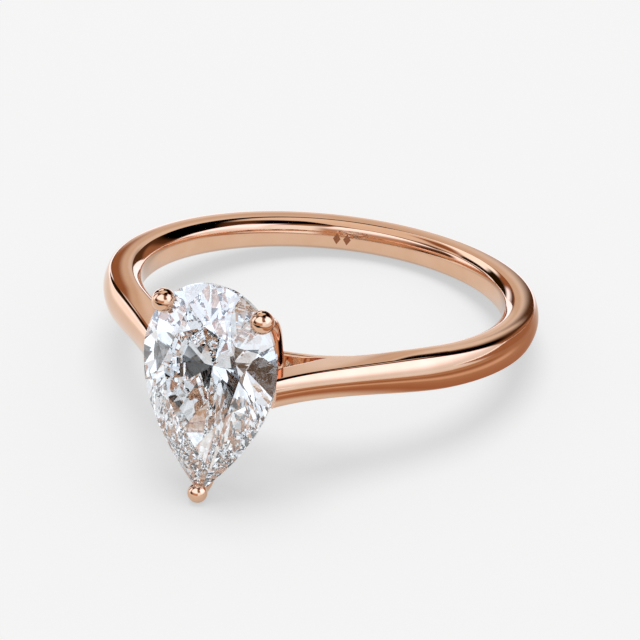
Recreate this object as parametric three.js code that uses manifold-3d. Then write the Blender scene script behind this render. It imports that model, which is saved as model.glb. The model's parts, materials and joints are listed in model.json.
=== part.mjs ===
// Engagement ring: a rose gold band with cathedral shoulders and a pear brilliant in three ball claws.
// Millimetres, +Z up. The ring lies on its side, on the back of the band and the claw at the pear's point.
// Each piece is drawn upright first, with the finger hole along Z and the stone facing -Y. There, at(x, h, z)
// has x to the right, h from the hole's axis towards the stone and z along the hole. The last lines lay it down.

import * as THREE from "three";
import { mergeVertices } from "three/addons/utils/BufferGeometryUtils.js";
import Module from "manifold-3d";

const wasm = await Module();
wasm.setup();

const { lerp, smoothstep, degToRad } = THREE.MathUtils;

// Neighbouring pieces keep this much solder or setting room.
const JOINT = 0.015;

// Band
const HOLE_RADIUS = 8.25;
const BACK_THICKNESS = 1.6;
const FRONT_THICKNESS = 1.76;
const BACK_WIDTH = 1.47;
const FRONT_WIDTH = 1.68;
const EDGE_RADIUS = 0.3;
const OUTER_CROWN = 0.13;
const SHOULDER_ANGLE = degToRad(58);
const SHANK_STEPS = 49;

// Cathedral shoulders, from the band up to the stone's girdle
const SWEEP_ANGLE = degToRad(50);
const SWEEP_HANDLE = 2.6;
const ARM_END_OUTER = new THREE.Vector2(3.02, 12.55);
const ARM_END_INNER = new THREE.Vector2(1.92, 11.7);
const ARM_INNER_BEND = new THREE.Vector2(2.65, 9.7);
const ARM_END_SLOPE = degToRad(67);
const ARM_END_WIDTH = 1.36;
const ARM_INNER_EDGE = 0.2;
const ARM_STEPS = 20;

// Finger rail, the bridge that closes the finger hole under the stone
const RAIL_THICKNESS = 0.82;
const RAIL_WIDTH = 1.04;
const RAIL_EDGE = 0.12;
const OPENING_ANGLE = degToRad(23.5);
const RAIL_STEPS = 31;
const SQUARE_EDGE = 0.02;

// Pear brilliant
const STONE_WIDTH = 6.27;
const STONE_LENGTH = 9.68;
const STONE_OFFSET = -0.16;
const ROUND_END = 3.48;
const GIRDLE_LEVEL = 13.0;
const GIRDLE_THICKNESS = 0.18;
const CROWN_HEIGHT = 0.92;
const PAVILION_DEPTH = 2.62;
const CULET_OFFSET = 0.8;
const TABLE_RATIO = 0.58;
const STAR_MEET = 0.56;
const LOWER_MEET = 0.77;
const MAIN_FACETS = 8;
const OUTLINE_STEPS = 48;

// Claws, gallery and base
const CLAW_ANGLE = degToRad(48);
const BALL_DIAMETER = 1.08;
const TIP_BALL_DIAMETER = 0.9;
const BALL_LEVEL = 13.24;
const CLAW_DIAMETER = 0.6;
const CLAW_STEPS = 14;
const WIRE_SIDES = 10;
const GALLERY_LEVEL = 11.2;
const GALLERY_WIDTH = 3.9;
const GALLERY_LENGTH = 6.7;
const GALLERY_OFFSET = -0.05;
const GALLERY_TAPER = 0.28;
const GALLERY_DIAMETER = 0.44;
const GALLERY_STEPS = 36;
const BASE_HEIGHT = 0.8;
const BASE_TOP_RADIUS = 0.95;
const BASE_FOOT_RADIUS = 0.6;
const BASE_SIDES = 24;

const ROSE_GOLD = "#d9a27e";
const DIAMOND = "#eef1f4";

const at = (x, h, z) => new THREE.Vector3(x, -h, z);

const onCircle = (radius, angle) => new THREE.Vector2(radius * Math.sin(angle), radius * Math.cos(angle));

// ---------------------------------------------------------------- solids

function toSolid(geometry) {
  const bare = geometry.clone();
  bare.deleteAttribute("normal");
  bare.deleteAttribute("uv");
  const merged = mergeVertices(bare, 1e-5);
  const vertProperties = new Float32Array(merged.attributes.position.array);
  const triVerts = new Uint32Array(merged.index.array);
  return new wasm.Manifold(new wasm.Mesh({ numProp: 3, vertProperties, triVerts }));
}

function toGeometry(solid) {
  const mesh = solid.getMesh();
  const geometry = new THREE.BufferGeometry();
  geometry.setAttribute("position", new THREE.BufferAttribute(mesh.vertProperties, 3));
  geometry.setIndex(new THREE.BufferAttribute(mesh.triVerts, 1));
  return geometry;
}

// A closed solid through a row of convex sections with equal numbers of points, or round a closed loop.
function loft(sections, isLoop = false) {
  const count = sections[0].length;
  const total = sections.length * count;
  const last = total - count;
  const index = [];
  for (let start = 0; start < (isLoop ? total : last); start += count) {
    const next = (start + count) % total;
    for (let j = 0; j < count; j += 1) {
      const k = (j + 1) % count;
      index.push(start + j, next + k, start + k);
      index.push(start + j, next + j, next + k);
    }
  }
  for (let j = 1; j < count - 1 && !isLoop; j += 1) {
    index.push(0, j, j + 1);
    index.push(last, last + j + 1, last + j);
  }
  const geometry = new THREE.BufferGeometry().setFromPoints(sections.flat());
  geometry.setIndex(index);
  return geometry;
}

// ---------------------------------------------------------------- band

// Outline of a band section: r from the finger side to the outer face, z along the hole.
function bandSection(depth, width, innerEdge, outerEdge, crown) {
  const half = width / 2;
  const outline = [];
  const addCorner = (r, z, radius, from) => {
    for (let k = 0; k <= 2; k += 1) {
      const angle = degToRad(from + 45 * k);
      outline.push([r + radius * Math.cos(angle), z + radius * Math.sin(angle)]);
    }
  };
  addCorner(innerEdge, innerEdge - half, innerEdge, 180);
  addCorner(depth - crown - outerEdge, outerEdge - half, outerEdge, 270);
  outline.push([depth, 0]);
  addCorner(depth - crown - outerEdge, half - outerEdge, outerEdge, 0);
  addCorner(innerEdge, half - innerEdge, innerEdge, 90);
  return outline;
}

// The section set between a point on the finger side and a point on the outer face.
function placeSection(inner, outer, width, innerEdge, outerEdge, crown) {
  const across = outer.clone().sub(inner);
  const outline = bandSection(across.length(), width, innerEdge, outerEdge, crown);
  across.normalize();
  return outline.map(([r, z]) => at(inner.x + across.x * r, inner.y + across.y * r, z));
}

// Grows from 0 at the back of the band to 1 at the shoulders.
const towardsFront = (angle) => (1 + Math.cos(angle)) / (1 + Math.cos(SHOULDER_ANGLE));

function shank() {
  const start = SHOULDER_ANGLE + JOINT / HOLE_RADIUS;
  const sections = [];
  for (let i = 0; i <= SHANK_STEPS; i += 1) {
    const angle = lerp(start, 2 * Math.PI - start, i / SHANK_STEPS);
    const front = towardsFront(angle);
    const inner = onCircle(HOLE_RADIUS, angle);
    const outer = onCircle(HOLE_RADIUS + lerp(BACK_THICKNESS, FRONT_THICKNESS, front), angle);
    const width = lerp(BACK_WIDTH, FRONT_WIDTH, front);
    sections.push(placeSection(inner, outer, width, EDGE_RADIUS, EDGE_RADIUS, OUTER_CROWN));
  }
  return toSolid(loft(sections));
}

// ---------------------------------------------------------------- shoulders and finger rail

// An arc round the hole's axis, from the shoulder's start to an angle nearer the stone.
function arcTo(radius, angle) {
  return new THREE.EllipseCurve(
    0, 0, radius, radius, Math.PI / 2 - SHOULDER_ANGLE, Math.PI / 2 - angle);
}

// The outer face of a shoulder: round like the band, then a hollow sweep up to the stone.
function shoulderOuterPath() {
  const radius = HOLE_RADIUS + FRONT_THICKNESS;
  const bend = onCircle(radius, SWEEP_ANGLE);
  const heading = new THREE.Vector2(-Math.cos(SWEEP_ANGLE), Math.sin(SWEEP_ANGLE));
  const arrival = new THREE.Vector2(-Math.cos(ARM_END_SLOPE), Math.sin(ARM_END_SLOPE));
  const path = new THREE.CurvePath();
  path.add(arcTo(radius, SWEEP_ANGLE));
  path.add(new THREE.CubicBezierCurve(
    bend,
    bend.clone().addScaledVector(heading, SWEEP_HANDLE),
    ARM_END_OUTER.clone().addScaledVector(arrival, -SWEEP_HANDLE),
    ARM_END_OUTER));
  return path;
}

// The finger side of a shoulder: along the rail's back, then up across the opening under the stone.
function shoulderInnerPath() {
  const radius = HOLE_RADIUS + RAIL_THICKNESS + JOINT;
  const path = new THREE.CurvePath();
  path.add(arcTo(radius, OPENING_ANGLE));
  path.add(new THREE.QuadraticBezierCurve(onCircle(radius, OPENING_ANGLE), ARM_INNER_BEND, ARM_END_INNER));
  return path;
}

function shoulder(side) {
  const outerPath = shoulderOuterPath();
  const innerPath = shoulderInnerPath();
  const sections = [];
  for (let i = 0; i <= ARM_STEPS; i += 1) {
    const along = i / ARM_STEPS;
    const innerEdge = lerp(SQUARE_EDGE, ARM_INNER_EDGE, smoothstep(along, 0.4, 0.75));
    const width = lerp(FRONT_WIDTH, ARM_END_WIDTH, along);
    const inner = innerPath.getPointAt(along);
    const outer = outerPath.getPointAt(along);
    inner.x *= side;
    outer.x *= side;
    sections.push(placeSection(inner, outer, width, innerEdge, EDGE_RADIUS, OUTER_CROWN));
  }
  return toSolid(loft(side > 0 ? sections.reverse() : sections));
}

function fingerRail() {
  const sections = [];
  for (let i = 0; i <= RAIL_STEPS; i += 1) {
    const angle = lerp(-SHOULDER_ANGLE, SHOULDER_ANGLE, i / RAIL_STEPS);
    const full = smoothstep(Math.abs(angle), OPENING_ANGLE, SWEEP_ANGLE);
    const width = lerp(RAIL_WIDTH, FRONT_WIDTH, full);
    const outerEdge = lerp(RAIL_EDGE, SQUARE_EDGE, full);
    const inner = onCircle(HOLE_RADIUS, angle);
    const outer = onCircle(HOLE_RADIUS + RAIL_THICKNESS, angle);
    sections.push(placeSection(inner, outer, width, EDGE_RADIUS, outerEdge, 0));
  }
  return toSolid(loft(sections));
}

// ---------------------------------------------------------------- stone

const STONE_TOP = STONE_OFFSET + STONE_LENGTH / 2;
const STONE_POINT = STONE_TOP - STONE_LENGTH;
const WIDEST_LINE = STONE_TOP - ROUND_END;
const POINT_LENGTH = STONE_LENGTH - ROUND_END;
const GIRDLE_TOP = GIRDLE_LEVEL + GIRDLE_THICKNESS / 2;
const GIRDLE_FOOT = GIRDLE_LEVEL - GIRDLE_THICKNESS / 2;
const TABLE_LEVEL = GIRDLE_TOP + CROWN_HEIGHT;
const CULET_LEVEL = GIRDLE_FOOT - PAVILION_DEPTH;
const STONE_HEART = at(0, GIRDLE_LEVEL, CULET_OFFSET);

// The girdle's outline, clockwise from the round end's top at turn 0, with the point at turn 0.5.
function girdlePoint(turn) {
  const side = turn > 0.5 ? -1 : 1;
  const run = Math.min(turn, 1 - turn) * 4;
  const angle = (Math.PI / 2) * Math.min(run, 1);
  const fall = Math.max(run - 1, 0);
  const half = (STONE_WIDTH / 2) * Math.sin(angle) * (1 - fall * fall);
  return new THREE.Vector2(side * half, WIDEST_LINE + ROUND_END * Math.cos(angle) - POINT_LENGTH * fall);
}

// Direction of the girdle at a turn, level with the girdle.
function girdleHeading(turn) {
  const step = 0.001;
  const ahead = girdlePoint((turn + step) % 1);
  const behind = girdlePoint((turn - step + 1) % 1);
  return new THREE.Vector3(ahead.x - behind.x, 0, ahead.y - behind.y);
}

// The plane of a facet through three points, facing away from the middle of the stone.
function facetThrough(a, b, c) {
  const plane = new THREE.Plane().setFromCoplanarPoints(a, b, c);
  return plane.distanceToPoint(STONE_HEART) > 0 ? plane.negate() : plane;
}

// The facet that lies along the girdle at a turn and leans in to reach a target.
function girdleFacet(turn, level, target) {
  const edge = girdlePoint(turn % 1);
  const foot = at(edge.x, level, edge.y);
  return facetThrough(foot, foot.clone().add(girdleHeading(turn % 1)), target);
}

// Where two facets' common edge passes a level.
function meetPoint(first, second, level) {
  const [p, q] = [first, second].map((plane) => plane.normal);
  const a = -first.constant + p.y * level;
  const b = -second.constant + q.y * level;
  const scale = p.x * q.z - p.z * q.x;
  return at((a * q.z - b * p.z) / scale, level, (p.x * b - q.x * a) / scale);
}

function cut(solid, plane) {
  const size = 30;
  const block = new THREE.BoxGeometry(size, size, size).translate(0, 0, size / 2);
  const turn = new THREE.Quaternion().setFromUnitVectors(new THREE.Vector3(0, 0, 1), plane.normal);
  const foot = plane.projectPoint(STONE_HEART, new THREE.Vector3());
  block.applyQuaternion(turn).translate(foot.x, foot.y, foot.z);
  return solid.subtract(toSolid(block));
}

function stoneBlank() {
  const outline = [];
  for (let i = 0; i < OUTLINE_STEPS; i += 1) {
    outline.push(girdlePoint(i / OUTLINE_STEPS));
  }
  const depth = TABLE_LEVEL - CULET_LEVEL;
  const blank = new THREE.ExtrudeGeometry(new THREE.Shape(outline), { depth, bevelEnabled: false });
  return toSolid(blank.rotateX(Math.PI / 2).translate(0, -CULET_LEVEL, 0));
}

// Eight mains, eight stars and sixteen upper girdle facets above; eight mains and sixteen lower ones below.
function stone() {
  const culet = at(0, CULET_LEVEL, CULET_OFFSET);
  const tableCorner = (turn) => {
    const edge = girdlePoint(turn % 1);
    return at(edge.x * TABLE_RATIO, TABLE_LEVEL, lerp(CULET_OFFSET, edge.y, TABLE_RATIO));
  };
  const crownMain = (turn) => girdleFacet(turn, GIRDLE_TOP, tableCorner(turn));
  const pavilionMain = (turn) => girdleFacet(turn, GIRDLE_FOOT, culet);
  const facets = [];
  for (let i = 0; i < MAIN_FACETS; i += 1) {
    const turn = i / MAIN_FACETS;
    const next = (i + 1) / MAIN_FACETS;
    const starLevel = lerp(GIRDLE_TOP, TABLE_LEVEL, STAR_MEET);
    const lowerLevel = lerp(GIRDLE_FOOT, CULET_LEVEL, LOWER_MEET);
    const starFoot = meetPoint(crownMain(turn), crownMain(next), starLevel);
    const lowerTip = meetPoint(pavilionMain(turn), pavilionMain(next), lowerLevel);
    facets.push(crownMain(turn), pavilionMain(turn));
    facets.push(facetThrough(tableCorner(turn), tableCorner(next), starFoot));
    for (const share of [0.27, 0.73]) {
      facets.push(girdleFacet(lerp(turn, next, share), GIRDLE_TOP, starFoot));
      facets.push(girdleFacet(lerp(turn, next, share), GIRDLE_FOOT, lowerTip));
    }
  }
  return facets.reduce(cut, stoneBlank());
}

// ---------------------------------------------------------------- claws, gallery and base

const CLAW_X = (STONE_WIDTH / 2) * Math.sin(CLAW_ANGLE);
const CLAW_Z = WIDEST_LINE + ROUND_END * Math.cos(CLAW_ANGLE);

// A wire bent along its points, with a ball over the girdle. Room makes it fatter, to cut its seat elsewhere.
function claw(points, spot, ballDiameter, room) {
  const section = new THREE.Shape();
  section.absarc(0, 0, CLAW_DIAMETER / 2 + room, 0, 2 * Math.PI);
  const wire = new THREE.ExtrudeGeometry(section, {
    curveSegments: WIRE_SIDES / 2,
    steps: CLAW_STEPS,
    extrudePath: new THREE.CatmullRomCurve3(points),
    bevelEnabled: false,
  });
  const ball = new THREE.SphereGeometry(ballDiameter / 2 + room, 20, 14).translate(spot.x, spot.y, spot.z);
  return toSolid(wire).add(toSolid(ball));
}

function sideClaw(side, room = 0) {
  const points = [
    at(side * 0.6, 9.5, 0.15),
    at(side * 1.45, 9.8, 0.3),
    at(side * 2.05, 10.35, 0.62),
    at(side * 2.3, 11.15, 1.6),
    at(side * 2.55, 12.3, 3.0),
    at(side * (CLAW_X + 0.15), BALL_LEVEL, CLAW_Z + 0.16),
  ];
  return claw(points, at(side * CLAW_X, BALL_LEVEL, CLAW_Z), BALL_DIAMETER, room);
}

function tipClaw(room = 0) {
  const points = [
    at(0, 9.5, -0.15),
    at(0, 9.8, -1.0),
    at(0, 10.35, -2.2),
    at(0, 11.2, -3.6),
    at(0, 12.3, -4.95),
    at(0, BALL_LEVEL, STONE_POINT - 0.12),
  ];
  return claw(points, at(0, BALL_LEVEL, STONE_POINT), TIP_BALL_DIAMETER, room);
}

// An egg-shaped wire loop below the stone, against the claws and the shoulders.
function galleryLoop(room = 0) {
  const radius = GALLERY_DIAMETER / 2 + room;
  const sections = [];
  for (let i = 0; i < GALLERY_STEPS; i += 1) {
    const turn = (2 * Math.PI * i) / GALLERY_STEPS;
    const x = (GALLERY_WIDTH / 2) * Math.sin(turn) * (1 + GALLERY_TAPER * Math.cos(turn));
    const z = (GALLERY_LENGTH / 2) * Math.cos(turn) + GALLERY_OFFSET;
    const headingX = (GALLERY_WIDTH / 2) * (Math.cos(turn) + GALLERY_TAPER * Math.cos(2 * turn));
    const headingZ = -(GALLERY_LENGTH / 2) * Math.sin(turn);
    const out = new THREE.Vector2(-headingZ, headingX).normalize();
    const section = [];
    for (let j = 0; j < WIRE_SIDES; j += 1) {
      const angle = (-2 * Math.PI * j) / WIRE_SIDES;
      const reach = radius * Math.cos(angle);
      const rise = radius * Math.sin(angle);
      section.push(at(x + out.x * reach, GALLERY_LEVEL + rise, z + out.y * reach));
    }
    sections.push(section);
  }
  return toSolid(loft(sections, true));
}

// The peg that the claws' feet are soldered into, on the finger rail's back.
function basePeg() {
  const foot = HOLE_RADIUS + RAIL_THICKNESS + JOINT;
  const profile = [
    new THREE.Vector2(0, 0),
    new THREE.Vector2(BASE_FOOT_RADIUS, 0),
    new THREE.Vector2(BASE_TOP_RADIUS, BASE_HEIGHT * 0.6),
    new THREE.Vector2(BASE_TOP_RADIUS * 0.9, BASE_HEIGHT),
    new THREE.Vector2(0, BASE_HEIGHT),
  ];
  const peg = new THREE.LatheGeometry(profile, BASE_SIDES);
  return toSolid(peg.rotateX(Math.PI).translate(0, -foot, 0));
}

// ---------------------------------------------------------------- assembly

function gold(name, solid) {
  const material = new THREE.MeshStandardMaterial({ color: ROSE_GOLD, metalness: 1, roughness: 0.08 });
  const mesh = new THREE.Mesh(toGeometry(solid), material);
  mesh.name = name;
  return mesh;
}

function diamond(name, solid) {
  const material = new THREE.MeshStandardMaterial({ color: DIAMOND, metalness: 0, roughness: 0.02 });
  material.transparent = true;
  material.opacity = 0.4;
  const mesh = new THREE.Mesh(toGeometry(solid), material);
  mesh.name = name;
  return mesh;
}

// The stone made slightly larger about its middle, to cut the seats that the claws hold it in.
function grownStone() {
  const middle = at(0, GIRDLE_LEVEL - 0.4, STONE_OFFSET);
  const scale = 1 + (2.2 * JOINT) / (STONE_WIDTH / 2);
  return stone().translate([-middle.x, -middle.y, -middle.z]).scale([scale, scale, scale])
    .translate([middle.x, middle.y, middle.z]);
}

const seat = grownStone();
const clawSeats = sideClaw(1, JOINT).add(sideClaw(-1, JOINT)).add(tipClaw(JOINT));
const armSeats = clawSeats.add(galleryLoop(JOINT));

const upright = new THREE.Group();
upright.add(gold("shank", shank()));
upright.add(gold("shoulder_left", shoulder(-1).subtract(armSeats)));
upright.add(gold("shoulder_right", shoulder(1).subtract(armSeats)));
upright.add(gold("finger_rail", fingerRail()));
upright.add(gold("head_base", basePeg().subtract(clawSeats)));
upright.add(gold("gallery_rail", galleryLoop().subtract(clawSeats)));
upright.add(gold("claw_left", sideClaw(-1).subtract(seat)));
upright.add(gold("claw_right", sideClaw(1).subtract(seat)));
upright.add(gold("claw_tip", tipClaw().subtract(seat)));
upright.add(diamond("stone", stone()));

// The line that touches the tip claw's ball and the back of the band from below is the table top.
const backReach = HOLE_RADIUS + BACK_THICKNESS - OUTER_CROWN - EDGE_RADIUS;
const backDrop = BACK_WIDTH / 2 - EDGE_RADIUS;
const span = Math.hypot(BALL_LEVEL + backReach, STONE_POINT + backDrop);
const restingTilt = Math.atan2(-STONE_POINT - backDrop, BALL_LEVEL + backReach)
  + Math.asin((TIP_BALL_DIAMETER / 2 - EDGE_RADIUS) / span);
upright.rotation.x = -restingTilt;

const ring = new THREE.Group();
ring.add(upright);
const box = new THREE.Box3().setFromObject(ring, true);
ring.position.set(-(box.min.x + box.max.x) / 2, -(box.min.y + box.max.y) / 2, -box.min.z);

export default ring;
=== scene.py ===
import json
import math

import bmesh
import bpy
import numpy as np
from mathutils import Matrix, Vector


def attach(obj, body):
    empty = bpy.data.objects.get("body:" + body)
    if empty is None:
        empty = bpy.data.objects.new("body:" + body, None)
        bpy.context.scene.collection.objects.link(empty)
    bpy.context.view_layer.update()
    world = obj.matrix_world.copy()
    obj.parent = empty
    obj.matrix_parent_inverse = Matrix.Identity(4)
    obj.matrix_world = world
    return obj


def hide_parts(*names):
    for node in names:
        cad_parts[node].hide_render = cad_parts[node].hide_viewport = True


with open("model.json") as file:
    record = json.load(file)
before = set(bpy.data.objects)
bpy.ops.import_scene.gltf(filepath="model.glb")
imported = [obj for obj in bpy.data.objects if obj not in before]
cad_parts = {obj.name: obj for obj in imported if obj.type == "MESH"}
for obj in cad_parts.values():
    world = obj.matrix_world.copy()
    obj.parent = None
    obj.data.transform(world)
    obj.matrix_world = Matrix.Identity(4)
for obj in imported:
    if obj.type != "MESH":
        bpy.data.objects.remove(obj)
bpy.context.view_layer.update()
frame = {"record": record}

# An engagement ring that lies on its side. Shapes are drawn in millimetres in the ring's own axes: x to the
# right, h from the finger hole's axis towards the stone, z along the hole. to_frame() lays them in the frame.

MM = 0.001

# Band
HOLE_RADIUS = 8.25
BACK_THICKNESS = 1.565
FRONT_THICKNESS = 1.765
BACK_WIDTH = 1.5
FRONT_WIDTH = 1.76
HALF_WIDTH = FRONT_WIDTH / 2
EDGE_RADIUS = 0.21
CROWN_ANGLE = math.radians(24)
SIDE_CROWN = 0.11
END_CROWN = 0.07
# Comfort fit: arcs from the side round to the finger face. Each has a radius and the angle where it ends.
COMFORT_ARCS = ((0.2, 18), (0.85, 42), (0.2, 76))
SHOULDER_ANGLE = math.radians(58)

# Cathedral shoulders and finger rail
SWEEP_ANGLE = math.radians(50)
SWEEP_HANDLE = 2.6
ARM_END_OUTER = (3.02, 12.55)
ARM_END_INNER = (1.92, 11.7)
ARM_INNER_BEND = (2.65, 9.7)
ARM_END_SLOPE = math.radians(67)
ARM_END_WIDTH = 1.36
RAIL_THICKNESS = 0.82
RAIL_WIDTH = 1.04
OPENING_ANGLE = math.radians(23.5)
ARM_FREE = 0.6
ARM_OPENING_RUN = 0.12
ARM_INNER_EDGE = 0.18
RAIL_INNER_EDGE = 0.16
LEAST_EDGE = 1e-3
FLAT_SWELL = 0.02
SEAM_LAP = 0.02

# Two plain lozenges marked inside the back of the band
MARK_ANGLE = math.radians(-164)
MARK_LEVEL = -0.03
MARK_SPACING = 0.48
LOZENGE_WIDTH = 0.36
LOZENGE_HEIGHT = 0.56
MARK_LIFT = 0.005
MARK_ROOT = 0.03
FACE_SWELL_RADIUS = 2.3

# Pear brilliant
STONE_WIDTH = 6.27
STONE_LENGTH = 9.68
STONE_OFFSET = -0.16
ROUND_END = 3.48
GIRDLE_LEVEL = 13.0
GIRDLE_THICKNESS = 0.18
CROWN_HEIGHT = 0.92
PAVILION_DEPTH = 2.62
CULET_OFFSET = 0.8
TABLE_RATIO = 0.58
STAR_MEET = 0.56
LOWER_MEET = 0.77
CROWN_TURNS = (0, 0.125, 0.25, 0.375, 0.5, 0.625, 0.75, 0.875)
PAVILION_TURNS = (0, 0.1, 0.2, 0.3, 0.4, 0.6, 0.7, 0.8, 0.9)
HALF_SHARES = (0.27, 0.73)
GIRDLE_STEPS = 160

# Claws, gallery and base
CLAW_ANGLE = math.radians(48)
BALL_DIAMETER = 1.08
TIP_BALL_DIAMETER = 0.9
BALL_LEVEL = 13.24
CLAW_DIAMETER = 0.6
MELT_VOXEL = 0.03
POLISH_PASSES = 12
GALLERY_LEVEL = 11.2
GALLERY_WIDTH = 3.9
GALLERY_LENGTH = 6.7
GALLERY_OFFSET = -0.05
GALLERY_TAPER = 0.28
GALLERY_DIAMETER = 0.44
BASE_HEIGHT = 0.8
BASE_TOP_RADIUS = 0.95
BASE_FOOT_RADIUS = 0.6

hole = next(m for m in frame["record"]["mounts"] if m["name"] == "finger_hole")
HOLE_CENTRE = np.array(hole["pos_m"])
TILT = math.atan2(hole["axis"][1], hole["axis"][2])


def to_frame(points):
    """Ring points (x, h, z) in millimetres, as frame points in metres."""
    points = np.asarray(points, float)
    x, h, z = points[..., 0], points[..., 1], points[..., 2]
    y_frame = z * math.sin(TILT) - h * math.cos(TILT)
    z_frame = z * math.cos(TILT) + h * math.sin(TILT)
    return np.stack([x, y_frame, z_frame], -1) * MM + HOLE_CENTRE


def smoothstep(t, low, high):
    t = np.clip((t - low) / (high - low), 0, 1)
    return t * t * (3 - 2 * t)


def mix(a, b, t):
    return a + (b - a) * t


# ---------------------------------------------------------------- mesh helpers

def add_mesh(name, vertices, faces, sharp=math.radians(38)):
    mesh = bpy.data.meshes.new(name)
    mesh.from_pydata(vertices.tolist(), [], faces)
    mesh.polygons.foreach_set("use_smooth", [True] * len(mesh.polygons))
    mesh.set_sharp_from_angle(angle=sharp)
    mesh.validate()
    piece = bpy.data.objects.new(name, mesh)
    bpy.context.scene.collection.objects.link(piece)
    return piece


def loft(name, rings, is_loop=False):
    """A closed mesh through rings of ring points, its ends closed by fans unless the rings make a loop."""
    rings = np.asarray(rings, float)
    rows, columns = rings.shape[:2]
    faces = []
    for i in range(rows if is_loop else rows - 1):
        a, b = i * columns, ((i + 1) % rows) * columns
        for j in range(columns):
            k = (j + 1) % columns
            faces.append((a + j, a + k, b + k, b + j))
    points = rings.reshape(-1, 3)
    if not is_loop:
        middles = np.array([rings[0].mean(0), rings[-1].mean(0)])
        start, last = len(points), (rows - 1) * columns
        points = np.concatenate([points, middles])
        for j in range(columns):
            k = (j + 1) % columns
            faces.append((start, k, j))
            faces.append((start + 1, last + j, last + k))
    piece = add_mesh(name, to_frame(points), faces)
    face_outwards(piece)
    return piece


def face_outwards(piece):
    shape = bmesh.new()
    shape.from_mesh(piece.data)
    bmesh.ops.recalc_face_normals(shape, faces=shape.faces)
    if shape.calc_volume(signed=True) < 0:
        bmesh.ops.reverse_faces(shape, faces=shape.faces)
    shape.to_mesh(piece.data)
    shape.free()


def stations(start, end, count):
    """Even steps with one very short step inside each end, so that shading runs on over a joint."""
    inner = np.linspace(start, end, count)
    nudge = (end - start) * 2e-4
    return np.concatenate([[start], [start + nudge], inner[1:-1], [end - nudge], [end]])


# ---------------------------------------------------------------- band sections

def arc(centre_r, centre_z, radius, start, end, steps):
    """Points (r, z) of an arc. Angles are in radians from the outward direction, towards +z."""
    angle = np.linspace(start, end, steps)
    return np.stack([centre_r + radius * np.cos(angle), centre_z + radius * np.sin(angle)], -1)


def outer_half(depth, edge=EDGE_RADIUS, half_width=HALF_WIDTH):
    """Outer face and edges of a section, from the -z side to the +z side: a shallow crown and round edges."""
    crown_radius = (half_width - edge * (1 - math.sin(CROWN_ANGLE))) / math.sin(CROWN_ANGLE)
    corner_r = depth - (crown_radius - edge) * (1 - math.cos(CROWN_ANGLE)) - edge
    corner_z = (crown_radius - edge) * math.sin(CROWN_ANGLE)
    crown = arc(depth - crown_radius, 0, crown_radius, -CROWN_ANGLE, CROWN_ANGLE, 21)
    low = arc(corner_r, -corner_z, edge, -math.pi / 2, -CROWN_ANGLE, 12)
    high = arc(corner_r, corner_z, edge, CROWN_ANGLE, math.pi / 2, 12)
    return np.concatenate([low[:-1], crown, high[1:]])


def inner_half(edge, swell, half_width=HALF_WIDTH):
    """Finger side of a section, from the +z side to the -z side: a gentle swell and round edges."""
    crown_radius = (half_width - edge * (1 - math.sin(swell))) / math.sin(swell)
    corner_r = (crown_radius - edge) * (1 - math.cos(swell)) + edge
    corner_z = (crown_radius - edge) * math.sin(swell)
    crown = arc(crown_radius, 0, crown_radius, math.pi - swell, math.pi + swell, 15)
    high = arc(corner_r, corner_z, edge, math.pi / 2, math.pi - swell, 12)
    low = arc(corner_r, -corner_z, edge, math.pi + swell, 1.5 * math.pi, 12)
    return np.concatenate([high[:-1], crown, low[1:]])


def comfort_half():
    """Finger side of the band, from the +z side to the -z side: a wide eased edge and a gentle swell."""
    angle, r, z = 0.0, 0.0, HALF_WIDTH
    points = [(r, z)]
    for radius, end in COMFORT_ARCS:
        end = math.radians(end)
        for turn in np.linspace(angle, end, 9)[1:]:
            points.append((r - radius * (math.sin(turn) - math.sin(angle)),
                           z - radius * (math.cos(angle) - math.cos(turn))))
        angle, (r, z) = end, points[-1]
    radius = z / math.cos(angle)
    for turn in np.linspace(angle, math.pi / 2, 9)[1:]:
        points.append((r - radius * (math.sin(turn) - math.sin(angle)), radius * math.cos(turn)))
    half = np.array(points)
    half[:, 0] -= half[-1, 0]
    return np.concatenate([half, half[-2::-1] * (1, -1)])


def side_run(start, end, steps):
    share = np.concatenate([[0.003], np.linspace(0, 1, steps + 2)[1:-1], [0.997]])[:, None]
    return start + (end - start) * share


def closed_section(outer, inner, steps=20):
    """Outer and finger-side chains joined by flat sides."""
    return np.concatenate([
        outer, side_run(outer[-1], inner[0], steps), inner, side_run(inner[-1], outer[0], steps)])


def on_circle(radius, angle):
    return np.array([radius * math.sin(angle), radius * math.cos(angle)])


def bezier(points, t):
    points = np.asarray(points, float)
    while len(points) > 1:
        points = points[:-1] + (points[1:] - points[:-1]) * t
    return points[0]


def even_path(points, count):
    """Points at even distances along a dense polyline."""
    points = np.asarray(points)
    length = np.concatenate([[0], np.cumsum(np.linalg.norm(np.diff(points, axis=0), axis=1))])
    share = stations(0, 1, count) * length[-1]
    return np.stack([np.interp(share, length, points[:, k]) for k in range(points.shape[1])], -1)


def arc_points(radius, end):
    return [on_circle(radius, a) for a in np.linspace(SHOULDER_ANGLE, end, 400)]


def outer_path(count):
    radius = HOLE_RADIUS + FRONT_THICKNESS
    bend = on_circle(radius, SWEEP_ANGLE)
    heading = np.array([-math.cos(SWEEP_ANGLE), math.sin(SWEEP_ANGLE)])
    arrival = np.array([-math.cos(ARM_END_SLOPE), math.sin(ARM_END_SLOPE)])
    end = np.array(ARM_END_OUTER)
    control = [bend, bend + heading * SWEEP_HANDLE, end - arrival * SWEEP_HANDLE, end]
    curve = [bezier(control, t) for t in np.linspace(0, 1, 1500)]
    return even_path(arc_points(radius, SWEEP_ANGLE) + curve[1:], count)


def inner_path(count):
    radius = HOLE_RADIUS + RAIL_THICKNESS
    control = [on_circle(radius, OPENING_ANGLE), ARM_INNER_BEND, ARM_END_INNER]
    curve = [bezier(control, t) for t in np.linspace(0, 1, 1000)]
    return even_path(arc_points(radius, OPENING_ANGLE) + curve[1:], count)


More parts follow.
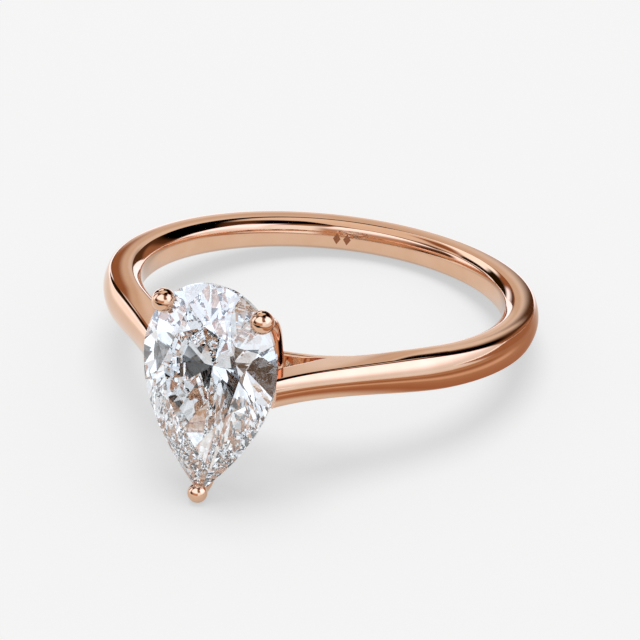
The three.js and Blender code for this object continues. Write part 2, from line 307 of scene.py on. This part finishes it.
OUTER_REACH = outer_path(400)[::-1]
OUTER_ANGLES = np.arctan2(OUTER_REACH[:, 0], OUTER_REACH[:, 1])
OUTER_DEPTHS = np.hypot(OUTER_REACH[:, 0], OUTER_REACH[:, 1]) - HOLE_RADIUS


def towards_front(angle):
    """0 at the back of the band and 1 at the shoulders."""
    return (1 + np.cos(angle)) / (1 + math.cos(SHOULDER_ANGLE))


def width_share(x, h):
    """How wide the band is at a point of the ring's plane, as a share of its width at the shoulders."""
    angle = np.abs(np.arctan2(x, h))
    radius = np.hypot(x, h)
    back = mix(BACK_WIDTH / FRONT_WIDTH, 1.0, towards_front(np.maximum(angle, SHOULDER_ANGLE)))
    front = mix(ARM_END_WIDTH / FRONT_WIDTH, 1.0, smoothstep(angle, math.radians(10), SHOULDER_ANGLE))
    depth = np.interp(angle, OUTER_ANGLES, OUTER_DEPTHS)
    opening = smoothstep(angle, OPENING_ANGLE * 0.8, SWEEP_ANGLE)
    narrow = mix(RAIL_WIDTH / (front * FRONT_WIDTH), 1.0, opening)
    reach = np.clip((radius - HOLE_RADIUS) / depth, 0, 1)
    side_crown = SIDE_CROWN * smoothstep(angle, math.radians(8), SWEEP_ANGLE)
    swell = side_crown + END_CROWN * np.sin(angle) ** 6
    crown = 1 - swell * (2 * reach - 1) ** 2
    return back * front * mix(narrow, 1.0, reach) * crown


def set_section(section, foot, head):
    """A section (r, z) stood between a point of the ring's plane on the finger side and one further out."""
    foot, head = np.asarray(foot), np.asarray(head)
    across = (head - foot) / np.linalg.norm(head - foot)
    plane = foot + section[:, :1] * across
    share = width_share(plane[:, 0], plane[:, 1])
    return np.column_stack([plane, section[:, 1] * share])


def shank():
    rings = []
    for angle in stations(SHOULDER_ANGLE, 2 * math.pi - SHOULDER_ANGLE, 260):
        depth = mix(BACK_THICKNESS, FRONT_THICKNESS, towards_front(angle))
        section = closed_section(outer_half(depth), comfort_half())
        foot, head = on_circle(HOLE_RADIUS, angle), on_circle(HOLE_RADIUS + depth, angle)
        rings.append(set_section(section, foot, head))
    return loft("band", rings)


def shoulder(name, side):
    rings = []
    share = stations(0, 1, 130)
    for foot, head, along in zip(inner_path(130), outer_path(130), share):
        depth = np.linalg.norm(head - foot)
        opening = smoothstep(along, ARM_FREE, ARM_FREE + ARM_OPENING_RUN)
        edge = max(ARM_INNER_EDGE * opening, LEAST_EDGE)
        section = closed_section(outer_half(depth), inner_half(edge, FLAT_SWELL))
        ring = set_section(section, foot, head)
        ring[:, 0] *= side
        rings.append(ring)
    return loft(name, rings)


def finger_rail():
    rings = []
    for angle in stations(-SHOULDER_ANGLE, SHOULDER_ANGLE, 170):
        opening = 1 - smoothstep(abs(angle), OPENING_ANGLE * 0.6, OPENING_ANGLE)
        back = inner_half(max(RAIL_INNER_EDGE * opening, LEAST_EDGE), FLAT_SWELL)
        top = RAIL_THICKNESS + SEAM_LAP * (1 - opening)
        outer = np.stack([top - back[::-1, 0], back[::-1, 1]], -1)
        section = closed_section(outer, comfort_half())
        rings.append(set_section(section, on_circle(HOLE_RADIUS, angle), on_circle(HOLE_RADIUS + 1, angle)))
    return loft("finger_bridge", rings)


def lozenge(name, shift):
    """A thin lozenge that follows the band's finger face, rooted in the metal."""
    rings = []
    for along in np.linspace(-1, 1, 15):
        angle = MARK_ANGLE + (shift + along * LOZENGE_WIDTH / 2) / HOLE_RADIUS
        half = max(1 - abs(along), 0.01) * LOZENGE_HEIGHT / 2
        z = MARK_LEVEL + half * np.linspace(-1, 1, 9)
        face = HOLE_RADIUS + z ** 2 / (2 * FACE_SWELL_RADIUS) - MARK_LIFT
        top = np.column_stack([face * math.sin(angle), face * math.cos(angle), z])
        root = face[::-1] + MARK_ROOT
        foot = np.column_stack([root * math.sin(angle), root * math.cos(angle), z[::-1]])
        rings.append(np.concatenate([top, foot]))
    return loft(name, rings)


# ---------------------------------------------------------------- stone

STONE_TOP = STONE_OFFSET + STONE_LENGTH / 2
STONE_POINT = STONE_TOP - STONE_LENGTH
WIDEST_LINE = STONE_TOP - ROUND_END
POINT_LENGTH = STONE_LENGTH - ROUND_END
GIRDLE_TOP = GIRDLE_LEVEL + GIRDLE_THICKNESS / 2
GIRDLE_FOOT = GIRDLE_LEVEL - GIRDLE_THICKNESS / 2
TABLE_LEVEL = GIRDLE_TOP + CROWN_HEIGHT
CULET_LEVEL = GIRDLE_FOOT - PAVILION_DEPTH
STONE_HEART = Vector((0, GIRDLE_LEVEL, CULET_OFFSET))


def girdle_point(turn):
    """Girdle outline (x, z), clockwise from the round end's top at turn 0, with the point at turn 0.5."""
    turn %= 1
    side = -1 if turn > 0.5 else 1
    run = min(turn, 1 - turn) * 4
    angle = math.pi / 2 * min(run, 1)
    fall = max(run - 1, 0)
    half = STONE_WIDTH / 2 * math.sin(angle) * (1 - fall * fall)
    return side * half, WIDEST_LINE + ROUND_END * math.cos(angle) - POINT_LENGTH * fall


def facet_through(a, b, c):
    """(point, outward normal) of the plane through three points, facing away from the stone's middle."""
    normal = (b - a).cross(c - a).normalized()
    if normal.dot(STONE_HEART - a) > 0:
        normal.negate()
    return a, normal


def girdle_facet(turn, level, target):
    """The facet that lies along the girdle at a turn and leans in to reach a target."""
    step = 0.001
    (x1, z1), (x2, z2) = girdle_point(turn - step), girdle_point(turn + step)
    x, z = girdle_point(turn)
    foot = Vector((x, level, z))
    return facet_through(foot, foot + Vector((x2 - x1, 0, z2 - z1)), target)


def meet_point(first, second, level):
    """Where two facets' common edge passes a level."""
    (a, p), (b, q) = first, second
    da = p.dot(a) - p.y * level
    db = q.dot(b) - q.y * level
    scale = p.x * q.z - p.z * q.x
    return Vector(((da * q.z - db * p.z) / scale, level, (p.x * db - q.x * da) / scale))


def stone_facets():
    """Eight crown mains with stars and upper girdle facets; nine pavilion mains with lower girdle facets."""
    culet = Vector((0, CULET_LEVEL, CULET_OFFSET))

    def table_corner(turn):
        x, z = girdle_point(turn)
        return Vector((x * TABLE_RATIO, TABLE_LEVEL, mix(CULET_OFFSET, z, TABLE_RATIO)))

    facets = []
    star_level = mix(GIRDLE_TOP, TABLE_LEVEL, STAR_MEET)
    for turn, after in zip(CROWN_TURNS, CROWN_TURNS[1:] + (1,)):
        mains = [girdle_facet(t, GIRDLE_TOP, table_corner(t)) for t in (turn, after)]
        star_foot = meet_point(*mains, star_level)
        facets.append(mains[0])
        facets.append(facet_through(table_corner(turn), table_corner(after), star_foot))
        facets += [girdle_facet(mix(turn, after, share), GIRDLE_TOP, star_foot) for share in HALF_SHARES]
    lower_level = mix(GIRDLE_FOOT, CULET_LEVEL, LOWER_MEET)
    for turn, after in zip(PAVILION_TURNS, PAVILION_TURNS[1:] + (1,)):
        mains = [girdle_facet(t, GIRDLE_FOOT, culet) for t in (turn, after)]
        lower_tip = meet_point(*mains, lower_level)
        facets.append(mains[0])
        facets += [girdle_facet(mix(turn, after, share), GIRDLE_FOOT, lower_tip) for share in HALF_SHARES]
    return facets


def stone():
    """The girdle's prism, cut by each facet in turn as a cutter grinds it."""
    shape = bmesh.new()
    outline = [girdle_point(i / GIRDLE_STEPS) for i in range(GIRDLE_STEPS)]
    low = [shape.verts.new((x, CULET_LEVEL, z)) for x, z in outline]
    high = [shape.verts.new((x, TABLE_LEVEL, z)) for x, z in outline]
    shape.faces.new(low)
    shape.faces.new(high[::-1])
    for i in range(GIRDLE_STEPS):
        k = (i + 1) % GIRDLE_STEPS
        shape.faces.new((low[k], low[i], high[i], high[k]))
    for point, normal in stone_facets():
        geometry = shape.verts[:] + shape.edges[:] + shape.faces[:]
        cut = bmesh.ops.bisect_plane(
            shape, geom=geometry, dist=1e-6, plane_co=point, plane_no=normal, clear_outer=True)
        rim = [e for e in cut["geom_cut"] if isinstance(e, bmesh.types.BMEdge)]
        bmesh.ops.holes_fill(shape, edges=rim, sides=0)
    bmesh.ops.remove_doubles(shape, verts=shape.verts, dist=1e-4)
    bmesh.ops.dissolve_limit(shape, angle_limit=math.radians(0.05), verts=shape.verts, edges=shape.edges)
    for vertex in shape.verts:
        vertex.co = Vector(to_frame(vertex.co))
    bmesh.ops.recalc_face_normals(shape, faces=shape.faces)
    if shape.calc_volume(signed=True) < 0:
        bmesh.ops.reverse_faces(shape, faces=shape.faces)
    mesh = bpy.data.meshes.new("pear_stone")
    shape.to_mesh(mesh)
    shape.free()
    piece = bpy.data.objects.new("pear_stone", mesh)
    bpy.context.scene.collection.objects.link(piece)
    return piece


# ---------------------------------------------------------------- claws, gallery and base

CLAW_X = STONE_WIDTH / 2 * math.sin(CLAW_ANGLE)
CLAW_Z = WIDEST_LINE + ROUND_END * math.cos(CLAW_ANGLE)


def smooth_curve(points, count):
    """Catmull-Rom curve through points."""
    points = np.asarray(points, float)
    padded = np.concatenate([[2 * points[0] - points[1]], points, [2 * points[-1] - points[-2]]])
    result = []
    for t in np.linspace(0, len(points) - 1, count):
        i = min(int(t), len(points) - 2)
        u = t - i
        a, b, c, d = padded[i:i + 4]
        result.append(0.5 * (2 * b + (c - a) * u + (2 * a - 5 * b + 4 * c - d) * u**2
                             + (3 * b - a - 3 * c + d) * u**3))
    return np.array(result)


def swept_rings(path, radii, sides):
    """Rings of a round wire along a path, turned as little as possible from one to the next."""
    heading = np.gradient(path, axis=0)
    heading /= np.linalg.norm(heading, axis=1)[:, None]
    side = np.cross(heading[0], (0.3, 0.2, 1.0))
    rings = []
    for centre, ahead, radius in zip(path, heading, radii):
        side = side - ahead * side.dot(ahead)
        side /= np.linalg.norm(side)
        up = np.cross(ahead, side)
        angle = np.linspace(0, 2 * math.pi, sides, endpoint=False)[:, None]
        rings.append(centre + radius * (np.cos(angle) * side + np.sin(angle) * up))
    return rings


def claw(name, points, spot, ball_diameter):
    """A bent wire that ends in a ball over the girdle, melted together as one piece."""
    path = smooth_curve(points, 60)
    radii = np.full(len(path), CLAW_DIAMETER / 2)
    wire = loft(name + "_wire", swept_rings(path, radii, 24))
    shape = bmesh.new()
    bmesh.ops.create_uvsphere(shape, u_segments=40, v_segments=24, radius=ball_diameter / 2)
    bmesh.ops.translate(shape, verts=shape.verts, vec=spot)
    for vertex in shape.verts:
        vertex.co = Vector(to_frame(vertex.co))
    bmesh.ops.recalc_face_normals(shape, faces=shape.faces)
    shape.from_mesh(wire.data)
    for vertex in shape.verts:
        vertex.co /= MM
    mesh = bpy.data.meshes.new(name)
    shape.to_mesh(mesh)
    shape.free()
    bpy.data.objects.remove(wire)
    rough = bpy.data.objects.new(name + "_rough", mesh)
    bpy.context.scene.collection.objects.link(rough)
    remesh = rough.modifiers.new("melt", "REMESH")
    remesh.mode = "VOXEL"
    remesh.voxel_size = MELT_VOXEL
    remesh.use_smooth_shade = True
    smooth = rough.modifiers.new("polish", "SMOOTH")
    smooth.factor = 0.5
    smooth.iterations = POLISH_PASSES
    evaluated = rough.evaluated_get(bpy.context.evaluated_depsgraph_get())
    result = bpy.data.meshes.new_from_object(evaluated)
    result.name = name
    result.transform(Matrix.Scale(MM, 4))
    bpy.data.objects.remove(rough)
    piece = bpy.data.objects.new(name, result)
    bpy.context.scene.collection.objects.link(piece)
    return piece


def side_claw(name, side):
    points = [
        (side * 0.6, 9.5, 0.15),
        (side * 1.45, 9.8, 0.3),
        (side * 2.05, 10.35, 0.62),
        (side * 2.3, 11.15, 1.6),
        (side * 2.55, 12.3, 3.0),
        (side * (CLAW_X + 0.15), BALL_LEVEL, CLAW_Z + 0.16),
    ]
    return claw(name, points, (side * CLAW_X, BALL_LEVEL, CLAW_Z), BALL_DIAMETER)


def tip_claw(name):
    points = [
        (0, 9.5, -0.15),
        (0, 9.8, -1.0),
        (0, 10.35, -2.2),
        (0, 11.2, -3.6),
        (0, 12.3, -4.8),
        (0, BALL_LEVEL, STONE_POINT),
    ]
    return claw(name, points, (0, BALL_LEVEL, STONE_POINT), TIP_BALL_DIAMETER)


def gallery():
    turn = np.linspace(0, 2 * math.pi, 120, endpoint=False)
    x = GALLERY_WIDTH / 2 * np.sin(turn) * (1 + GALLERY_TAPER * np.cos(turn))
    z = GALLERY_LENGTH / 2 * np.cos(turn) + GALLERY_OFFSET
    out_x = GALLERY_LENGTH / 2 * np.sin(turn)
    out_z = GALLERY_WIDTH / 2 * (np.cos(turn) + GALLERY_TAPER * np.cos(2 * turn))
    scale = np.hypot(out_x, out_z)
    rings = []
    radius = GALLERY_DIAMETER / 2
    angle = np.linspace(0, 2 * math.pi, 20, endpoint=False)
    for cx, cz, nx, nz in zip(x, z, out_x / scale, out_z / scale):
        reach, rise = radius * np.cos(angle), radius * np.sin(angle)
        rings.append(np.stack([cx + nx * reach, GALLERY_LEVEL + rise, cz + nz * reach], -1))
    return loft("gallery_wire", rings, is_loop=True)


def base_peg():
    foot = HOLE_RADIUS + RAIL_THICKNESS
    profile = [
        (BASE_FOOT_RADIUS * 0.9, 0.0), (BASE_FOOT_RADIUS, 0.05), (0.66, 0.2), (0.8, 0.36),
        (BASE_TOP_RADIUS * 0.97, 0.5), (BASE_TOP_RADIUS, 0.62), (0.93, 0.72), (BASE_TOP_RADIUS * 0.9, 0.78),
        (BASE_TOP_RADIUS * 0.8, BASE_HEIGHT),
    ]
    angle = np.linspace(0, 2 * math.pi, 48, endpoint=False)
    rings = [np.stack([r * np.sin(angle), np.full(48, foot + h), r * np.cos(angle)], -1) for r, h in profile]
    return loft("head_peg", rings)


# ---------------------------------------------------------------- materials

def new_material(name):
    material = bpy.data.materials.new(name)
    material.use_nodes = True
    nodes = material.node_tree.nodes
    nodes.clear()
    return material, nodes, material.node_tree.links


def ramp_between(nodes, links, value, low, high):
    """A 0 to 1 texture value as a range of values."""
    ramp = nodes.new("ShaderNodeMapRange")
    ramp.inputs["To Min"].default_value = low
    ramp.inputs["To Max"].default_value = high
    links.new(value, ramp.inputs["Value"])
    return ramp.outputs["Result"]


def noise(nodes, links, place_vector, per_metre, detail, stretch=(1, 1, 1)):
    mapping = nodes.new("ShaderNodeMapping")
    mapping.inputs["Scale"].default_value = stretch
    links.new(place_vector, mapping.inputs["Vector"])
    texture = nodes.new("ShaderNodeTexNoise")
    texture.inputs["Scale"].default_value = per_metre
    texture.inputs["Detail"].default_value = detail
    links.new(mapping.outputs["Vector"], texture.inputs["Vector"])
    return texture.outputs["Fac"]


def rose_gold():
    """Polished rose gold: soft buffing waves, hairline scratches, and a polish that varies a little."""
    material, nodes, links = new_material("rose_gold_polished")
    output = nodes.new("ShaderNodeOutputMaterial")
    shader = nodes.new("ShaderNodeBsdfPrincipled")
    where = nodes.new("ShaderNodeTexCoord").outputs["Object"]
    shader.inputs["Metallic"].default_value = 1.0
    wear = noise(nodes, links, where, 900, 4)
    tone = nodes.new("ShaderNodeValToRGB")
    tone.color_ramp.elements[0].position = 0.3
    tone.color_ramp.elements[0].color = (0.74, 0.455, 0.295, 1)
    tone.color_ramp.elements[1].position = 0.7
    tone.color_ramp.elements[1].color = (0.78, 0.495, 0.335, 1)
    links.new(wear, tone.inputs["Fac"])
    links.new(tone.outputs["Color"], shader.inputs["Base Color"])
    polish = noise(nodes, links, where, 2600, 6)
    links.new(ramp_between(nodes, links, polish, 0.02, 0.085), shader.inputs["Roughness"])
    hairlines = noise(nodes, links, where, 5200, 3, (1, 1, 9))
    scratches = nodes.new("ShaderNodeBump")
    scratches.inputs["Strength"].default_value = 0.5
    scratches.inputs["Distance"].default_value = 2.5e-7
    links.new(hairlines, scratches.inputs["Height"])
    waves = nodes.new("ShaderNodeBump")
    waves.inputs["Strength"].default_value = 0.6
    waves.inputs["Distance"].default_value = 2.5e-6
    links.new(noise(nodes, links, where, 420, 1), waves.inputs["Height"])
    links.new(scratches.outputs["Normal"], waves.inputs["Normal"])
    links.new(waves.outputs["Normal"], shader.inputs["Normal"])
    links.new(shader.outputs["BSDF"], output.inputs["Surface"])
    return material


def mark_gold_painted_shade():
    """The matt metal of the two lozenges; its dark base colour is painted shade that stands for the shade in
    an engraved recess.
    """
    material, nodes, links = new_material("rose_gold_mark_painted_shade")
    output = nodes.new("ShaderNodeOutputMaterial")
    shader = nodes.new("ShaderNodeBsdfPrincipled")
    where = nodes.new("ShaderNodeTexCoord").outputs["Object"]
    shader.inputs["Metallic"].default_value = 1.0
    # Painted shade: this dark base colour stands in for the shade of an engraved recess; the matt roughness
    # below is real.
    shader.inputs["Base Color"].default_value = (0.33, 0.13, 0.065, 1)
    grain = noise(nodes, links, where, 30000, 4)
    links.new(ramp_between(nodes, links, grain, 0.3, 0.6), shader.inputs["Roughness"])
    links.new(shader.outputs["BSDF"], output.inputs["Surface"])
    return material


def diamond():
    """Clear diamond with a trace of polishing haze."""
    material, nodes, links = new_material("diamond_clear")
    output = nodes.new("ShaderNodeOutputMaterial")
    shader = nodes.new("ShaderNodeBsdfPrincipled")
    where = nodes.new("ShaderNodeTexCoord").outputs["Object"]
    shader.inputs["Base Color"].default_value = (0.93, 0.965, 1.0, 1)
    shader.inputs["IOR"].default_value = 2.42
    shader.inputs["Transmission Weight"].default_value = 1.0
    haze = noise(nodes, links, where, 1800, 3)
    links.new(ramp_between(nodes, links, haze, 0.0, 0.006), shader.inputs["Roughness"])
    links.new(shader.outputs["BSDF"], output.inputs["Surface"])
    return material


# ---------------------------------------------------------------- the object

GOLD = rose_gold()
MARK_SHADE_GOLD = mark_gold_painted_shade()
DIAMOND = diamond()


def place(piece, material, slot, *nodes):
    piece.data.materials.clear()
    piece.data.materials.append(material)
    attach(piece, "root")
    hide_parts(*nodes)


place(shank(), GOLD, "rose_gold", "shank")
place(lozenge("inner_lozenge_a", -MARK_SPACING / 2), MARK_SHADE_GOLD, "rose_gold", "shank")
place(lozenge("inner_lozenge_b", MARK_SPACING / 2), MARK_SHADE_GOLD, "rose_gold", "shank")
place(shoulder("cathedral_arm_left", -1), GOLD, "rose_gold", "shoulder_left")
place(shoulder("cathedral_arm_right", 1), GOLD, "rose_gold", "shoulder_right")
place(finger_rail(), GOLD, "rose_gold", "finger_rail")
place(base_peg(), GOLD, "rose_gold", "head_base")
place(gallery(), GOLD, "rose_gold", "gallery_rail")
place(side_claw("ball_claw_left", -1), GOLD, "rose_gold", "claw_left")
place(side_claw("ball_claw_right", 1), GOLD, "rose_gold", "claw_right")
place(tip_claw("ball_claw_tip"), GOLD, "rose_gold", "claw_tip")
place(stone(), DIAMOND, "diamond", "stone")

# ---------------------------------------------------------------- camera

CAMERA_AZIMUTH = math.radians(22.77)
CAMERA_ELEVATION = math.radians(31.51)
CAMERA_ROLL = math.radians(0.4)
CAMERA_DISTANCE = 0.25155
CAMERA_LENS = 310.3
AIM_RIGHT = -0.10
AIM_UP = -1.0


def direction_to(azimuth, elevation):
    """Unit vector. Azimuth is 0 in front of the stone and turns to the right, elevation is 0 at the floor."""
    return Vector((math.sin(azimuth) * math.cos(elevation), -math.cos(azimuth) * math.cos(elevation),
                   math.sin(elevation)))


def add_camera():
    back = direction_to(CAMERA_AZIMUTH, CAMERA_ELEVATION)
    right = Vector((math.cos(CAMERA_AZIMUTH), math.sin(CAMERA_AZIMUTH), 0))
    up = back.cross(right)
    right, up = (math.cos(CAMERA_ROLL) * right + math.sin(CAMERA_ROLL) * up,
                 math.cos(CAMERA_ROLL) * up - math.sin(CAMERA_ROLL) * right)
    aim = Vector(HOLE_CENTRE) + (right * AIM_RIGHT + up * AIM_UP) * MM
    data = bpy.data.cameras.new("camera")
    data.lens = CAMERA_LENS
    data.clip_start = 0.01
    data.clip_end = 10
    camera = bpy.data.objects.new("camera", data)
    turn = Matrix((right, up, back)).transposed().to_4x4()
    camera.matrix_world = Matrix.Translation(aim + back * CAMERA_DISTANCE) @ turn
    bpy.context.scene.collection.objects.link(camera)
    bpy.context.scene.camera = camera


add_camera()

# ---------------------------------------------------------------- stage and light

scene = bpy.context.scene
scene.view_settings.view_transform = "Standard"
scene.cycles.caustics_reflective = False
scene.cycles.caustics_refractive = False
scene.cycles.max_bounces = 24
scene.cycles.glossy_bounces = 24
scene.cycles.transmission_bounces = 24


class NodeMath:
    """Writes sums as shader nodes."""

    def __init__(self, tree):
        self.nodes, self.links = tree.nodes, tree.links

    def put(self, value, socket):
        if isinstance(value, bpy.types.NodeSocket):
            self.links.new(value, socket)
        else:
            socket.default_value = value

    def op(self, operation, *values):
        node = self.nodes.new("ShaderNodeMath")
        node.operation = operation
        for value, socket in zip(values, node.inputs):
            self.put(value, socket)
        return node.outputs[0]

    def window(self, value, low, high, soft):
        """1 between low and high, fading to 0 over soft on each side."""
        middle, half = (low + high) / 2, (high - low) / 2
        away = self.op("ABSOLUTE", self.op("SUBTRACT", value, middle))
        fade = self.nodes.new("ShaderNodeMapRange")
        fade.interpolation_type = "SMOOTHSTEP"
        fade.inputs["From Min"].default_value = half + soft / 2
        fade.inputs["From Max"].default_value = half - soft / 2
        self.links.new(away, fade.inputs["Value"])
        return fade.outputs["Result"]

    def mix(self, share, low, high):
        node = self.nodes.new("ShaderNodeMix")
        node.data_type = "RGBA"
        self.put(share, node.inputs[0])
        self.put(low, node.inputs[6])
        self.put(high, node.inputs[7])
        return node.outputs[2]


# Softboxes and flags round the ring. Azimuth is 0 in front of the stone and 90 to the right, and elevation
# is 0 at the floor. Each has (azimuth from, to, fade), (elevation from, to, fade) in degrees and a colour,
# and lies over the ones before it.
STUDIO = [
    ((-60, 30, 20), (22, 78, 16), (1.6, 1.8, 2.2)),
    ((-34, 66, 18), (0, 19, 8), (0.67, 0.42, 0.27)),
    ((28, 72, 12), (-2, 32, 8), (1.2, 1.4, 1.6)),
    ((24, 62, 8), (40, 74, 10), (0.36, 0.22, 0.14)),
    ((62, 134, 12), (-6, 30, 6), (1.0, 1.12, 1.3)),
    ((66, 128, 14), (10, 56, 16), (1.9, 2.0, 2.6)),
    ((166, 270, 12), (34, 86, 6), (0.95, 0.9, 0.86)),
    ((218, 292, 8), (-20, 40, 8), (1.5, 1.65, 2.0)),
    ((196, 208, 6), (-4, 20, 3), (0.92, 0.9, 0.88)),
    ((191, 200, 5), (11, 19, 3), (0.9, 0.86, 0.82)),
    ((198.5, 206, 3), (5.5, 18, 4), (0.74, 0.63, 0.53)),
    ((183, 206, 5), (21, 48, 3), (0.0, 0.0, 0.0)),
    ((204, 232, 4), (21, 40, 4), (1.4, 1.6, 1.8)),
    ((203.5, 212, 4), (3, 20, 5), (0.34, 0.15, 0.07)),
    ((212, 226, 4), (12, 22, 5), (0.34, 0.15, 0.07)),
    ((224, 248, 5), (-4, 27, 5), (0.02, 0.01, 0.0)),
    ((236, 249, 4), (20, 42, 4), (0.02, 0.01, 0.0)),
    ((220, 244, 6), (42, 54, 6), (0.34, 0.15, 0.07)),
    ((134, 174, 6), (-4, 15, 8), (0.36, 0.18, 0.1)),
    ((136, 190, 8), (22, 47, 6), (0.0, 0.0, 0.0)),
    ((96, 166, 10), (60, 84, 8), (0.0, 0.0, 0.0)),
    ((162, 212, 10), (50, 68, 8), (1.0, 0.97, 0.94)),
    ((256, 268, 6), (-20, 60, 10), (0.16, 0.08, 0.04)),
]
GAP_COLOUR = (0.1, 0.045, 0.02, 1)
# What rays that leave the stone see: panels between two colours, and a dark zone round a fixed direction
STONE_FLAG = math.radians(47)
STONE_FLAG_FADE = 0.03
STONE_PANEL_LOW = (0.85, 0.92, 0.99, 1)
STONE_PANEL_HIGH = (1.4, 1.5, 1.6, 1)
STONE_PANEL_TURNS = 0.105
THROUGH_STONE = (1.2, 1.75, 2.4)
FILL = 0.2
FLOOR_REACH = 2
FLOOR_ALBEDO = 0.8
FLOOR_GLOW = 0.57
# Cards on the floor: (x from, to, fade), (y from, to, fade) in millimetres, and a colour
FLOOR_CARDS = [
    ((-400, 400, 6), (15, 400, 6), (1.45, 1.6, 1.9)),
    ((34, 400, 20), (-300, 20, 10), (1.0, 1.12, 1.3)),
    ((9, 27, 5), (-80, 12, 8), (0.52, 0.32, 0.21)),
    ((8.5, 11.5, 4), (-20, 8, 6), (0.42, 0.19, 0.1)),
    ((16.2, 19, 1.6), (-14, 6, 5), (0.4, 0.21, 0.12)),
    ((13.2, 15.2, 1.2), (-14, 6, 5), (0.78, 0.56, 0.44)),
    ((10, 90, 8), (9, 400, 8), (0.4, 0.2, 0.11)),
    ((-300, -24, 10), (-10, 15, 6), (1.3, 1.38, 1.5)),
    ((-60, 12, 10), (-140, -32, 10), (0.02, 0.02, 0.02)),
]


def studio_world():
    world = bpy.data.worlds.new("studio")
    world.use_nodes = True
    tree = world.node_tree
    calc = NodeMath(tree)
    direction = tree.nodes.new("ShaderNodeSeparateXYZ")
    tree.links.new(tree.nodes.new("ShaderNodeTexCoord").outputs["Generated"], direction.inputs[0])
    x, y, z = direction.outputs
    azimuth = calc.op("MULTIPLY", calc.op("ARCTAN2", x, calc.op("MULTIPLY", y, -1.0)), 180 / math.pi)
    elevation = calc.op("MULTIPLY", calc.op("ARCSINE", z), 180 / math.pi)
    colour = GAP_COLOUR
    for (a_low, a_high, a_soft), (e_low, e_high, e_soft), card in STUDIO:
        middle = (a_low + a_high) / 2
        turned = calc.op("WRAP", azimuth, middle + 180.0, middle - 180.0)
        share = calc.op("MULTIPLY", calc.window(turned, a_low, a_high, a_soft),
                        calc.window(elevation, e_low, e_high, e_soft))
        colour = calc.mix(share, colour, (*card, 1))
    path = tree.nodes.new("ShaderNodeLightPath")
    flag = direction_to(CAMERA_AZIMUTH, CAMERA_ELEVATION)
    towards = calc.op("ADD", calc.op("MULTIPLY", x, flag.x),
                      calc.op("ADD", calc.op("MULTIPLY", y, flag.y), calc.op("MULTIPLY", z, flag.z)))
    dark = calc.window(towards, math.cos(STONE_FLAG), 2.0, STONE_FLAG_FADE)
    wave = calc.op("SINE", calc.op("MULTIPLY", azimuth, STONE_PANEL_TURNS))
    panels = calc.op("ADD", calc.op("MULTIPLY", wave, 0.5), 0.5)
    stone_light = calc.mix(panels, STONE_PANEL_LOW, STONE_PANEL_HIGH)
    stone_light = calc.mix(dark, stone_light, (0.0, 0.0, 0.0, 1))
    seen_through = calc.op("GREATER_THAN", path.outputs["Transmission Depth"], 1.5)
    colour = calc.mix(seen_through, colour, (*THROUGH_STONE, 1))
    colour = calc.mix(path.outputs["Is Transmission Ray"], colour, stone_light)
    colour = calc.mix(path.outputs["Is Diffuse Ray"], colour, (FILL, FILL, FILL, 1))
    background = tree.nodes["Background"]
    tree.links.new(colour, background.inputs["Color"])
    world.cycles.sampling_method = "NONE"
    scene.world = world


def add_key(azimuth, elevation, spread, strength):
    """A soft light that shapes the shadow on the floor and isn't mirrored in the metal."""
    towards = direction_to(math.radians(azimuth), math.radians(elevation))
    light = bpy.data.lights.new("key", "AREA")
    light.shape = "DISK"
    light.size = 2 * math.tan(math.radians(spread) / 2)
    light.energy = strength
    key = bpy.data.objects.new("key", light)
    key.visible_glossy = False
    key.visible_transmission = False
    key.rotation_mode = "QUATERNION"
    key.rotation_quaternion = towards.to_track_quat("Z", "Y")
    key.location = towards
    scene.collection.objects.link(key)


studio_world()
add_key(azimuth=200, elevation=82, spread=40, strength=2.6)

floor_mesh = bpy.data.meshes.new("floor")
floor_corners = [(-FLOOR_REACH, -FLOOR_REACH, 0), (FLOOR_REACH, -FLOOR_REACH, 0),
                 (FLOOR_REACH, FLOOR_REACH, 0), (-FLOOR_REACH, FLOOR_REACH, 0)]
floor_mesh.from_pydata(floor_corners, [], [(0, 1, 2, 3)])
floor = bpy.data.objects.new("floor", floor_mesh)
scene.collection.objects.link(floor)


def floor_white():
    """Plain pale floor that glows a little. Only reflections see the cards that lie round the ring."""
    material, nodes, links = new_material("floor_white")
    calc = NodeMath(material.node_tree)
    where = nodes.new("ShaderNodeSeparateXYZ")
    links.new(nodes.new("ShaderNodeTexCoord").outputs["Object"], where.inputs[0])
    x, y, _ = where.outputs
    mirrored = nodes.new("ShaderNodeLightPath").outputs["Is Glossy Ray"]
    surface = nodes.new("ShaderNodeBsdfDiffuse")
    surface.inputs["Color"].default_value = (FLOOR_ALBEDO, FLOOR_ALBEDO, FLOOR_ALBEDO, 1)
    glow = nodes.new("ShaderNodeEmission")
    glow.inputs["Strength"].default_value = FLOOR_GLOW
    both = nodes.new("ShaderNodeAddShader")
    links.new(surface.outputs["BSDF"], both.inputs[0])
    links.new(glow.outputs["Emission"], both.inputs[1])
    shader = both.outputs[0]
    for (x_low, x_high, x_soft), (y_low, y_high, y_soft), colour in FLOOR_CARDS:
        share = calc.op("MULTIPLY", calc.window(x, x_low * MM, x_high * MM, x_soft * MM),
                        calc.window(y, y_low * MM, y_high * MM, y_soft * MM))
        card = nodes.new("ShaderNodeEmission")
        card.inputs["Color"].default_value = (*colour, 1)
        blend = nodes.new("ShaderNodeMixShader")
        links.new(calc.op("MULTIPLY", share, mirrored), blend.inputs[0])
        links.new(shader, blend.inputs[1])
        links.new(card.outputs["Emission"], blend.inputs[2])
        shader = blend.outputs[0]
    output = nodes.new("ShaderNodeOutputMaterial")
    links.new(shader, output.inputs["Surface"])
    return material


floor_mesh.materials.append(floor_white())

bpy.context.view_layer.update()
